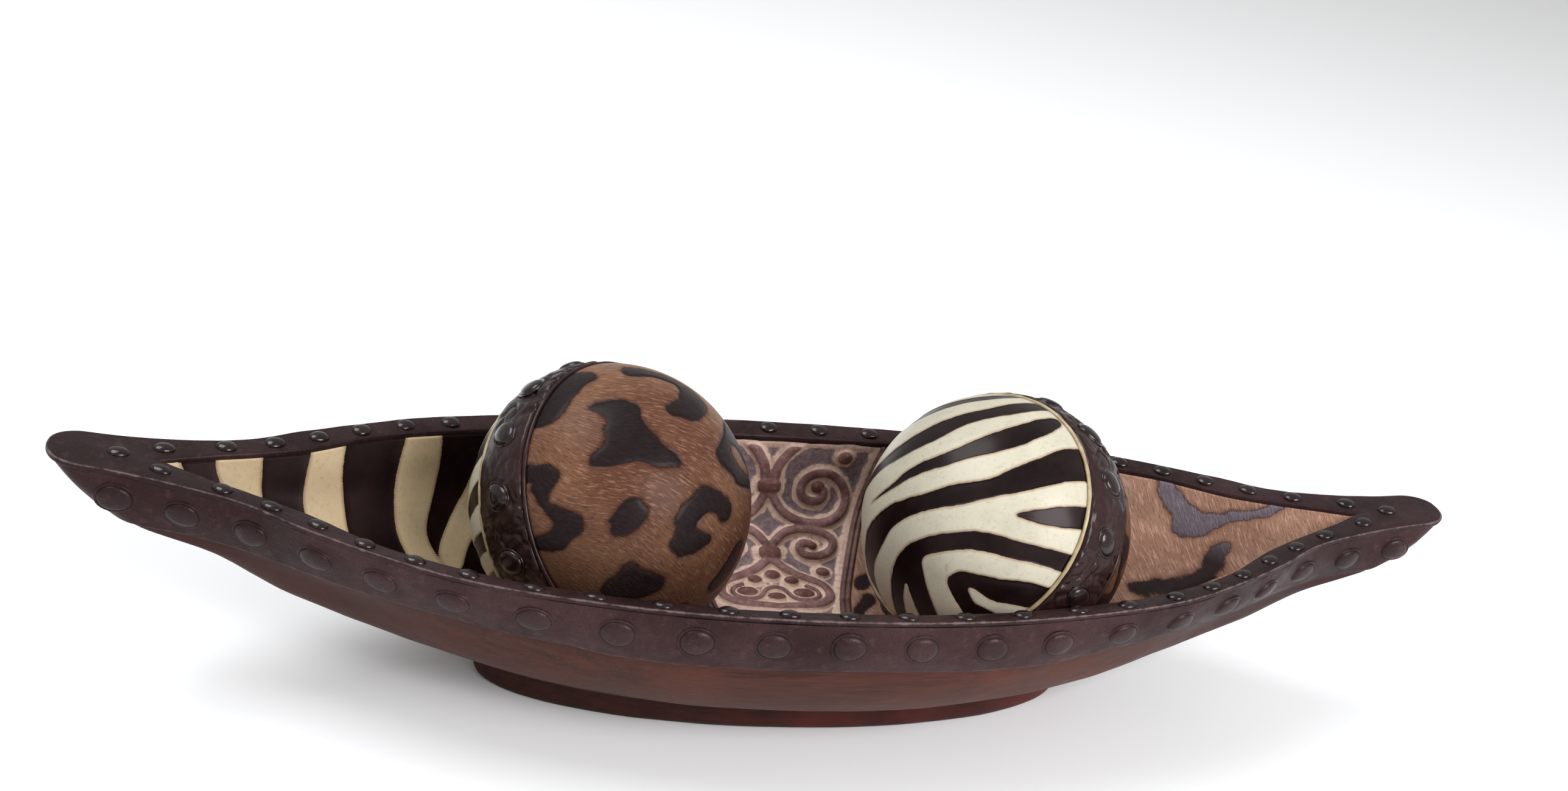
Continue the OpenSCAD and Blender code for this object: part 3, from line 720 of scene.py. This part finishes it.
# Raised work of the carved panel, right half, as (distance from the panel's axis, distance up the basin)
SCROLLS = [
    (2.4, [(2, 75), (2.6, 79.5), (5, 83.5), (8, 87.5), (11, 90.5), (15, 93)]),
    (2.15, [(1.5, 68), (4, 63), (7.5, 59.5), (13, 57), (20, 56.5), (26, 58), (30.5, 62), (32, 66.5),
           (31.5, 71), (28.5, 75.5), (24, 77.8), (19, 77.5), (15, 75.3), (12.8, 71.5), (13.4, 67.8),
           (16.5, 65.8), (20, 65.8), (22.5, 67.8), (22.4, 70.5)]),
    (2.0, [(1.5, 47.5), (5.5, 52), (10.5, 54), (16.5, 54.2), (21.5, 53.3), (25.5, 51.3), (26.5, 48.3),
           (24.5, 45), (20, 43), (15.5, 42.8), (12.5, 44.3), (12, 46.8), (14, 48.4), (16.5, 48)]),
    (2.1, [(0, 41), (2.5, 39.6), (5, 37), (9.2, 34.5), (13.5, 32.5), (17.5, 31), (20.5, 29), (22, 25.5),
           (21.6, 22), (18, 19), (13, 17.5), (6, 17), (0, 16.4)]),
    (1.1, [(0.5, 27), (3.5, 26), (5, 23.5), (7, 20.8), (11, 19.9), (15.5, 20.8), (17.8, 23.5), (16.5, 26.5),
           (13, 28)]),
]
BEADS = [(29.6, 84.8, 3.3, 3.1), (20.8, 36, 3.1, 2.3), (20, 71.8, 3.2, 2.8), (17.5, 47.3, 2.2, 1.9),
         (0, 33.6, 3.5, 2.5), (7.4, 31, 3.2, 2.2), (11.3, 24.3, 4.6, 2.6), (0, 22, 4, 1.9), (0, 3, 4, 3)]
COLLARS = [(0, 71.3, 5, 3.1), (0, 43.6, 4.7, 2.9)]
RELIEF = 1.5


def carved_relief(d, v):
    """Height of the raised work, the distance from its edge, and where its beads and collars are."""
    flat = np.stack([np.abs(d).ravel(), np.abs(v).ravel()], 1)
    high = np.zeros(len(flat))
    knob = np.zeros(len(flat))
    away = np.full(len(flat), 99.0)
    for width, line in SCROLLS:
        dist = line_distance(flat, rounded(line, 3, False))
        high = np.maximum(high, np.sqrt(np.maximum(0, 1 - (dist / width) ** 2)))
        away = np.minimum(away, dist - width)
    for cx, cv, rx, rv in BEADS:
        r = np.hypot((flat[:, 0] - cx) / rx, (flat[:, 1] - cv) / rv)
        high = np.maximum(high, 1.25 * np.sqrt(np.maximum(0, 1 - r**2)))
        knob = np.maximum(knob, np.clip(3 - 3 * r, 0, 1))
        away = np.minimum(away, (r - 1) * min(rx, rv))
    for cx, cv, rx, rv in COLLARS:
        r = (np.abs((flat[:, 0] - cx) / rx) ** 3.2 + np.abs((flat[:, 1] - cv) / rv) ** 3.2) ** (1 / 3.2)
        high = np.maximum(high, 1.6 * np.maximum(0, 1 - r**3) ** 0.5)
        knob = np.maximum(knob, np.clip(3 - 3 * r, 0, 1))
        away = np.minimum(away, (r - 1) * min(rx, rv))
    return high.reshape(d.shape), away.reshape(d.shape), knob


def panel():
    rows, cols = 310, 140
    v = np.linspace(-RIM_S, RIM_S, rows)[:, None]
    p = np.linspace(-1, 1, cols)[None, :]
    d = p * panel_edge(v)
    vv = np.repeat(v, cols, 1)
    g = basin_at(d + PANEL_AXIS, vv)
    high, away, knob = carved_relief(d, vv)
    rim = panel_edge(vv) - np.abs(d)
    top = RIM_S - np.abs(vv)
    away = np.minimum(away, np.minimum(rim, top) - 1.8)
    high = high * np.clip(rim / 0.8, 0, 1) * np.clip((top - 1) / 2.5, 0, 1)
    normal = facing(grid_normals(g, wrap=False), rows // 2, cols // 2)
    hollow = 0.6 * np.clip(away / 2, 0, 1)
    g = g + normal * (RELIEF * high - hollow)[..., None]
    numbers = {"relief": high.ravel(), "away": away.ravel(), "knob": knob}
    piece = make_piece("carved_scroll_panel", g.reshape(-1, 3), [grid_faces(rows, cols)],
                       "bowl", panel_paint, ["scroll_panel"], numbers)
    return thin(piece, 1.3)


panel()


def divider(side):
    """A strip with two reeds between the carved panel and a hide."""
    rows, cols = 150, 25
    v = np.linspace(-RIM_S, RIM_S, rows)[:, None]
    t = np.linspace(0, 1, cols)[None, :]
    x = PANEL_AXIS + side * panel_edge(v, t)
    g = basin_at(x, np.repeat(v, cols, 1))
    normal = facing(grid_normals(g, wrap=False), rows // 2, cols // 2)
    reeds = np.abs(np.sin(2 * math.pi * np.clip((t - 0.06) / 0.88, 0, 1))) ** 0.6
    g = g + normal * (0.15 + 0.95 * reeds * np.ones_like(v))[..., None]
    piece = make_piece("divider_strip_" + ("right" if side > 0 else "left"), g.reshape(-1, 3),
                       [grid_faces(rows, cols, flip=side < 0)], "bowl", divider_paint,
                       ["divider_right" if side > 0 else "divider_left"])
    return thin(piece, 1.4)


divider(-1)
divider(1)


# ---------------- rim, band, hull and foot
def rim_cap():
    """Leather over the rim: rounded edges, a low crown, and a rolled outer edge."""
    a = ring_points(RIM_INNER, AROUND, SIDE, "inner")
    b = ring_points(RIM_OUTER, AROUND, SIDE, "top")
    across = b - a
    width = np.linalg.norm(across, axis=-1, keepdims=True)
    across = across / width
    up = np.array([0, 0, 1.0])
    rows = []
    for s, h in [(0.1, -3.4), (-0.25, -1.6), (-0.15, -0.7), (0.25, -0.15), (0.9, 0.05)]:
        rows.append(a + across * s + up * h)
    for t in np.linspace(0, 1, 12)[1:-1]:
        rows.append(a + across * (0.9 + (width - 1.8) * t) + up * (0.05 + 0.25 * math.sin(math.pi * t)))
    for s, h in [(-0.9, 0.1), (-0.35, 0.05), (0.15, -0.2), (0.4, -0.7), (0.4, -1.3), (0.1, -1.9),
                 (-0.8, -2.1)]:
        rows.append(b + across * s + up * h)
    rows.append(b - across * 3 + up * -2.2)
    rows.append(a + across * 2 + up * -3.4)
    g = np.stack(rows)
    normal = facing(grid_normals(g), 10, N // 2)
    lumps = field(g, 14, 3.1)
    g = g + normal * (0.16 * lumps)[..., None]
    # Marks the outer rolled edge of the rim for a painted highlight strip in the leather paint.
    wear_and_highlight = np.zeros(g.shape[:2])
    wear_and_highlight[16:19] = [[0.8], [1.0], [0.6]]
    return make_piece("rim_leather_cap", g.reshape(-1, 3), [grid_faces(len(rows), 2 * N, True, True)],
                      "bowl", rim_paint, ["rim_cap"], {"wear_and_highlight": wear_and_highlight.ravel()})


def band_points(t, u, side):
    top = ring_points(BAND_TOP, u, side, "top")
    low = ring_points(BAND_LOW, u, side, "low")
    m = top * (1 - t) + low * t
    a = np.abs(u)
    m[..., 0] += np.sign(u) * BULGE * 0.5 * a**8 * np.sin(math.pi * t)
    m[..., 1] += side * BULGE * np.sin(math.pi * t) * (1 - 0.6 * a)
    return m


def rim_band():
    ts = np.linspace(0, 1, 34)
    face = np.stack([band_points(t, AROUND, SIDE) for t in ts])
    normal = facing(grid_normals(face), 17, N // 2, 1)
    lumps = field(face, 22, 7.7)
    small = field(face, 5, 1.3, 2)
    face = face + normal * (0.28 * lumps + 0.1 * small)[..., None]
    edge = face[-1]
    n_low = normal[-1]
    down = face[-1] - face[-2]
    down = down / np.linalg.norm(down, axis=-1, keepdims=True)
    rows = list(face[:-1])
    rows += [edge - n_low * 0.15, edge + down * 0.35 - n_low * 0.6, edge + down * 0.4 - n_low * 1.1,
             edge + down * 0.1 - n_low * 1.7, edge - down * 2 - n_low * 2.2]
    rows += [face[16] - normal[16] * 2.4, face[1] - normal[1] * 2.2]
    g = np.stack(rows)
    # Marks the band's lower rolled edge for scuffs with a painted highlight in the leather paint.
    wear_and_highlight = np.zeros(g.shape[:2])
    wear_and_highlight[32:35] = [[0.5], [0.85], [0.5]]
    return make_piece("rim_leather_band", g.reshape(-1, 3), [grid_faces(len(rows), 2 * N, True, True)],
                      "bowl", band_paint, ["rim_band"], {"wear_and_highlight": wear_and_highlight.ravel()})


# How far the bed lies outside the basin that shows: length, width, two heights, mix and power
BED_GROWTH = (1.6, 1.7, -1.6, -1.6, 0, 0)


def hull():
    """The wooden body, closed: the bed under the linings, the walls behind the leather, and the outside."""
    bed = []
    for s in [0, 8, 17, 26, 34.5, 42, 50, 57, 64, 70, 75, 80, 84.5, 88]:
        row = basin_row(np.array(float(s)))
        grown = [float(value) + more for value, more in zip(row, BED_GROWTH)]
        p = ring_points(grown, AROUND, SIDE, "inner")
        p[:, 1] *= min(s / 17, 1)
        bed.append(p)
    inner_top = (RIM_INNER[0] + 3, RIM_INNER[1] + 2, RIM_Z - 5.2, TIP_Z - 8, 1, 2.5)
    outer_top = (BAND_TOP[0] - 5, BAND_TOP[1] - 3.2, RIM_Z - 3.4, TIP_Z - 3.4, 1, 2.5)
    rows = bed + [ring_points(inner_top, AROUND, SIDE, "inner"), ring_points(outer_top, AROUND, SIDE, "top")]
    mid = (HULL[0] + np.array(outer_top)) / 2
    rows.append(ring_points(mid - np.array([2, 1, 0, 0, 0, 0]), AROUND, SIDE, "low"))
    keys = np.arange(len(HULL))
    for k in np.linspace(0, len(HULL) - 1, 46):
        row = [smooth(k, keys, HULL[:, c]) for c in range(6)]
        rows.append(ring_points([float(r) for r in row], AROUND, SIDE, "low"))
    last = HULL[-1]
    for shrink, drop in [(0.35, 0.5), (1.0, 0.8), (2.0, 0.9), (4.5, 0.7)]:
        under = (last[0] - shrink, last[1] - shrink, last[2] - drop, last[3] - drop, 0, 2)
        rows.append(ring_points(under, AROUND, SIDE, "low"))
    flat = rows[-1].copy()
    flat[:, 1] *= 0.5
    line = flat.copy()
    line[:, 1] = 0
    rows += [flat, line]
    g = np.stack(rows)
    normal = facing(grid_normals(g), len(bed) + 20, N // 2, 1)
    tool = field(g, 26, 4.4) * 0.22 + field(g * [0.25, 1, 1], 4.5, 2.2, 2) * 0.08
    outside = np.zeros(len(rows))
    outside[len(bed) + 6:-6] = 1
    g = g + normal * (tool * outside[:, None])[..., None]
    return make_piece("wooden_hull", g.reshape(-1, 3), [grid_faces(len(rows), 2 * N, True)],
                      "bowl", hull_paint, ["hull"], weld=WELD)


def foot():
    steps = 260
    t = np.linspace(0, 2 * math.pi, steps, endpoint=False)
    profile = [(-8, 10.8), (-1.6, 10.8), (-0.7, 10.4), (-0.2, 9.4), (0, 8), (0.1, 6), (0, 4), (-0.2, 2.2),
               (-0.8, 0.9), (-1.8, 0.15), (-3.2, 0), (-8, 0), (-9, 0.8), (-30, 0.8)]
    rows = []
    for grow, z in profile:
        rows.append(np.stack([(114 + grow) * np.cos(t), (36.5 + grow) * np.sin(t), z + 0 * t], 1))
    g = np.stack(rows)
    wobble = field(g, 24, 9.2) * 0.22
    outward = np.stack([np.cos(t) * 36.5, np.sin(t) * 114, 0 * t], 1)
    outward /= np.linalg.norm(outward, axis=1, keepdims=True)
    g = g + outward[None] * wobble[..., None]
    faces = [grid_faces(len(rows), steps, True, flip=True)]
    faces.append(np.arange(steps)[None, :])
    faces.append((np.arange(steps) + (len(rows) - 1) * steps)[None, ::-1])
    return make_piece("oval_foot", g.reshape(-1, 3), faces, "bowl", foot_paint, ["foot"])


rim_cap()
rim_band()
hull()
foot()


# ---------------- studs
def stud_mesh(places, rx, ry, height, base, lip=False):
    """Domed studs: each place is (point, normal, direction of the long side). Returns points and faces."""
    seg, rings = 32, 9
    points, faces = [], []
    for k, (p, n, along) in enumerate(places):
        n = n / np.linalg.norm(n)
        a = along - n * (along @ n)
        a = a / np.linalg.norm(a)
        b = np.cross(n, a)
        t = np.linspace(0, 2 * math.pi, seg, endpoint=False)
        sway = 1 + 0.03 * math.sin(7.3 * k) * np.cos(2 * t + k) + 0.02 * np.cos(3 * t + 2 * k)
        rows = [(0.55, -base), (0.97, -base), (1.0, -0.25)]
        if lip:
            rows = [(0.55, -base), (1.17, -base), (1.19, -0.2), (1.15, 0.08), (1.09, 0.12), (1.04, -0.1),
                    (1.01, -0.1)]
        rows += [(math.cos(q) ** 0.9, height * math.sin(q) ** 1.05) for q in np.linspace(0.02, 1.5, rings)]
        start = sum(len(q) for q in points)
        for r, h in rows:
            long_way = r * rx * (np.cos(t) * sway)[:, None] * a
            points.append(p + long_way + r * ry * (np.sin(t) * sway)[:, None] * b + n * h)
        m = len(rows)
        faces.append(grid_faces(m, seg, True) + start)
        points.append(np.array([p + n * height]))
        top = start + m * seg
        last = start + (m - 1) * seg + np.arange(seg)
        faces.append(np.stack([last, np.roll(last, -1), np.full(seg, top)], 1))
        faces.append((start + np.arange(seg))[None, ::-1])
    return np.concatenate(points), faces


RIM_X = [0, 21, 42, 64, 86, 106, 127, 144, 160, 175, 190, 206, 226]
BAND_X = [0, 26, 52, 78, 105, 131, 154, 175, 196, 218, 242]
BAND_HALF, BAND_LAST = 251.75, 238  # half length at the studs, and how far out the last stud may lie
MID_DROP, END_DROP = 0.38, 0.16  # how far down the band: at mid length, and added towards the points
END_START, END_LIFT = 0.85, 0.9  # from here outwards the studs climb again


def rim_middle(x, side):
    return (ring_points(RIM_INNER, x / RIM_INNER[0], side, "inner")
            + ring_points(RIM_OUTER, x / RIM_OUTER[0], side, "top")) / 2


def both_ends(places):
    return [0] + [e * x for x in places if x for e in (-1, 1)]


def rim_studs(side, name, node):
    places = []
    for x in both_ends(RIM_X):
        along = rim_middle(x + 1, side) - rim_middle(x - 1, side)
        out = (ring_points(RIM_OUTER, x / RIM_OUTER[0], side, "top")
               - ring_points(RIM_INNER, x / RIM_INNER[0], side, "inner"))
        n = side * np.cross(along, out)
        places.append((rim_middle(x, side) + [0, 0, 0.25], n, along))
    points, faces = stud_mesh(places, 3.6, 2.9, 1.5, 0.8)
    make_piece(name, points, faces, "bowl", stud_paint, [node])


def band_studs(side, name, node):
    places = []
    for x in both_ends(BAND_X):
        u = min(abs(x), BAND_LAST) / BAND_HALF * (1 if x > 0 else -1)
        t = MID_DROP + END_DROP * abs(u) - END_LIFT * max(0, abs(u) - END_START)
        along = band_points(t, u + 0.01, side) - band_points(t, u - 0.01, side)
        down = band_points(t + 0.1, u, side) - band_points(t - 0.1, u, side)
        n = np.cross(along, down) * side
        places.append((band_points(t, u, side), n, along))
    if places[0][1] @ [0, side, 0] < 0:
        places = [(p, -n, a) for p, n, a in places]
    points, faces = stud_mesh(places, 5.7, 4.5, 1.7, 0.9, True)
    make_piece(name, points, faces, "bowl", band_stud_paint, [node])


rim_studs(-1, "rim_stud_row_front", "rim_studs_front")
rim_studs(1, "rim_stud_row_back", "rim_studs_back")
band_studs(-1, "band_stud_row_front", "band_studs_front")
band_studs(1, "band_stud_row_back", "band_studs_back")
tip_places = [(rim_middle(e * 240.0, 0) + [0, 0, 0.25], np.array([-e * 0.1, 0, 1.0]), np.array([1.0, 0, 0]))
              for e in (-1, 1)]
tip_points, tip_faces = stud_mesh(tip_places, 3.6, 3.0, 1.5, 0.8)
make_piece("tip_stud_pair", tip_points, tip_faces, "bowl", stud_paint, ["tip_studs"])


# ---------------- orbs
CAP_R, BAND_R = 50.0, 51.0
BAND_HIGH, BAND_LOW_Z, PIPING, CORD_R = 16.0, -6.0, 1.6, 0.75
ORBS = {"left": ((-71.8, 2, 69.6), 123, 135), "right": ((72.5, -4, 69.4), 56, -156)}
zebra_edge = CAP_R * math.acos((BAND_HIGH + PIPING) / CAP_R)
leopard_edge = CAP_R * math.acos(-(BAND_LOW_Z - PIPING) / CAP_R)


class Orb:
    def __init__(self, name):
        centre, tilt, heading = ORBS[name]
        self.name = name
        self.body = name + "_orb"
        t, h = math.radians(tilt), math.radians(heading)
        self.centre = np.array(centre, float)
        self.axes = np.array([
            [math.cos(t) * math.cos(h), math.cos(t) * math.sin(h), -math.sin(t)],
            [-math.sin(h), math.cos(h), 0],
            [math.sin(t) * math.cos(h), math.sin(t) * math.sin(h), math.cos(t)],
        ])

    def place(self, local):
        return self.centre + local @ self.axes

    def cap(self, pole, edge, outlines, holes, key, paint, dent):
        """One hide cap, as rings round its pole, with its pattern cut into it."""
        rings, seg = 130, 520
        r = np.linspace(0.35, edge, rings)[:, None]
        t = np.linspace(0, 2 * math.pi, seg, endpoint=False)[None, :]
        flat = np.stack([(r * np.cos(t)).ravel(), (r * np.sin(t)).ravel()], 1)
        mark = any_of(flat, outlines)
        if holes:
            mark = np.minimum(mark, -any_of(flat, holes))
        ball = np.stack([flat[:, 0], flat[:, 1], 0 * flat[:, 0]], 1)
        mark = mark + (0.25 if key == "stripe" else 0.75) * field(ball, 4.5, 3.7, 2)
        grid = mark.reshape(rings, seg)
        angle = r / CAP_R
        shape = np.clip(grid + 0.5, 0, 1) if key == "stripe" else np.exp(-(grid / 0.6) ** 2)
        height = CAP_R - dent * shape
        fade = np.clip((edge - r) / 1.2, 0, 1)
        height = height - 0.35 * (1 - fade)

        def sphere(a, radius):
            return np.stack([radius * np.sin(a) * np.cos(t), radius * np.sin(a) * np.sin(t),
                             pole * radius * np.cos(a) * np.ones_like(t)], -1)

        rows = [sphere(angle, height)]
        for deeper, back in [(48.6, 0.0), (47.6, 0.4), (47.4, 6), (47.4, 18), (47.4, 32), (47.4, 46)]:
            rows.append(sphere(np.full((1, 1), (edge - back) / CAP_R), np.full((1, seg), deeper)))
        local = np.concatenate(rows)
        total = local.shape[0]
        mark_all = np.concatenate([mark, np.full(seg * (total - rings), -9.0)])
        bend = np.radians(128) + 0.25 * field(ball, 45, 8.1, 1)
        fur = np.stack([flat[:, 0] * np.cos(bend) - flat[:, 1] * np.sin(bend),
                        flat[:, 0] * np.sin(bend) + flat[:, 1] * np.cos(bend), 0 * mark], 1)
        fur_all = np.concatenate([fur, np.zeros((seg * (total - rings), 3))])
        faces = [grid_faces(total, seg, True, flip=pole > 0)]
        faces.append(np.arange(seg)[None, ::pole])
        faces.append((np.arange(seg) + (total - 1) * seg)[None, ::-pole])
        kind = "zebra_cap" if pole > 0 else "leopard_cap"
        make_piece(self.name + "_" + kind + "_hide", self.place(local.reshape(-1, 3)), faces,
                   self.body, paint, [self.name + "_" + kind], {key: mark_all}, {"fur": fur_all})

    def tube(self, z, radius, name, node, paint, wave):
        """Piping: a cord of soft section round the ball."""
        seg, sect = 300, 14
        t = np.linspace(0, 2 * math.pi, seg, endpoint=False)[None, :]
        q = np.linspace(0, 2 * math.pi, sect, endpoint=False)[:, None]
        ring_r = math.sqrt(CAP_R**2 - z * z) - 0.12
        lean = math.asin(z / CAP_R)
        thick = radius * (1 + wave * np.sin(23 * t) * np.sin(9 * t))
        out = ring_r + thick * (np.cos(q) * math.cos(lean) - np.sin(q) * math.sin(lean))
        height = z + thick * (np.cos(q) * math.sin(lean) + np.sin(q) * math.cos(lean)) + 0 * t
        local = np.stack([out * np.cos(t), out * np.sin(t), height], -1)
        make_piece(self.name + name, self.place(local.reshape(-1, 3)), [grid_faces(sect, seg, True, True)],
                   self.body, paint, [self.name + node])

    def band(self):
        """The creased leather belt."""
        rows_n, seg = 44, 420
        t = np.linspace(0, 2 * math.pi, seg, endpoint=False)[None, :]
        z = np.linspace(BAND_LOW_Z, BAND_HIGH, rows_n)[:, None]
        radius = np.sqrt(BAND_R**2 - z * z) + 0 * t
        local = np.stack([radius * np.cos(t), radius * np.sin(t), z + 0 * t], -1)
        warp = local + 4 * field(local, 13, 2.6, 2)[..., None]
        crease = np.maximum(ridges(warp * [1, 1, 0.45], 7.5, 4.2), ridges(warp * [0.9, 0.9, 1.2], 11, 8.8))
        calm = np.clip(0.65 + 1.3 * field(local, 24, 5.9, 2), 0, 1)
        lumps = field(local, 5.5, 6.1, 2)
        rolled = np.clip(np.minimum(z - BAND_LOW_Z, BAND_HIGH - z) / 1.6, 0, 1)
        depth = -1.0 * crease * calm + 0.3 * lumps - 0.8 * (1 - np.sqrt(1 - (1 - rolled) ** 2))
        unit = local / np.linalg.norm(local, axis=-1, keepdims=True)
        local = local + unit * depth[..., None]
        shell = [local]
        for zz, rr in [(BAND_HIGH - 0.1, 48.6), (BAND_HIGH - 0.4, 47.5), (5.0, 47.5),
                       (BAND_LOW_Z + 0.4, 47.5), (BAND_LOW_Z + 0.1, 48.6)]:
            ring_r = math.sqrt(rr * rr - zz * zz)
            shell.append(np.stack([ring_r * np.cos(t), ring_r * np.sin(t), zz + 0 * t], -1))
        g = np.concatenate(shell)
        make_piece(self.name + "_leather_belt", self.place(g.reshape(-1, 3)),
                   [grid_faces(len(g), seg, True, True)], self.body, orb_leather_paint,
                   [self.name + "_band"])

    def studs(self):
        middle = (BAND_HIGH + BAND_LOW_Z) / 2
        lean = math.asin(middle / BAND_R)
        places = []
        for i in range(14):
            a = math.radians(10 + i * 360 / 14)
            n = np.array([math.cos(lean) * math.cos(a), math.cos(lean) * math.sin(a), math.sin(lean)])
            along = np.array([-math.sin(a), math.cos(a), 0]) * 0.45 + np.array([0, 0, 1.0])
            places.append((self.centre + (n * (BAND_R - 0.15)) @ self.axes, n @ self.axes, along @ self.axes))
        points, faces = stud_mesh(places, 5.2, 4.4, 1.65, 0.9, True)
        make_piece(self.name + "_orb_stud_ring", points, faces, self.body, stud_paint,
                   [self.name + "_orb_studs"])


for orb_name in ORBS:
    orb = Orb(orb_name)
    orb.cap(1, zebra_edge, ZEBRA_DARK, ZEBRA_CREAM, "stripe", zebra_orb_paint, 0.3)
    orb.cap(-1, leopard_edge, LEOPARD_SPOTS, SPOT_HOLES, "spot", leopard_orb_paint, 0.3)
    orb.tube(BAND_HIGH + PIPING / 2, CORD_R, "_cream_piping", "_zebra_piping", trim_paint, 0.12)
    orb.tube(BAND_LOW_Z - PIPING / 2, CORD_R, "_brown_piping", "_leopard_piping",
             orb_leather_paint, 0.15)
    orb.band()
    orb.studs()
    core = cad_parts[orb_name + "_core"]
    core.data.materials.clear()
    core.data.materials.append(core_paint)

# ---------------- floor
floor_mesh = bpy.data.meshes.new("floor")
floor_mesh.from_pydata([(-14, -14, 0), (14, -14, 0), (14, 14, 0), (-14, 14, 0)], [], [(0, 1, 2, 3)])
floor = bpy.data.objects.new("floor", floor_mesh)
scene.collection.objects.link(floor)
floor_mix = Paint("floor_paper", roughness=0.9, specular=0.1)
floor_colour = floor_mix.mix(floor_mix.noise(0.8, 2, 0.5), (0.9, 0.9, 0.9), (0.93, 0.93, 0.93))
floor_mesh.materials.append(floor_mix.done(floor_colour))
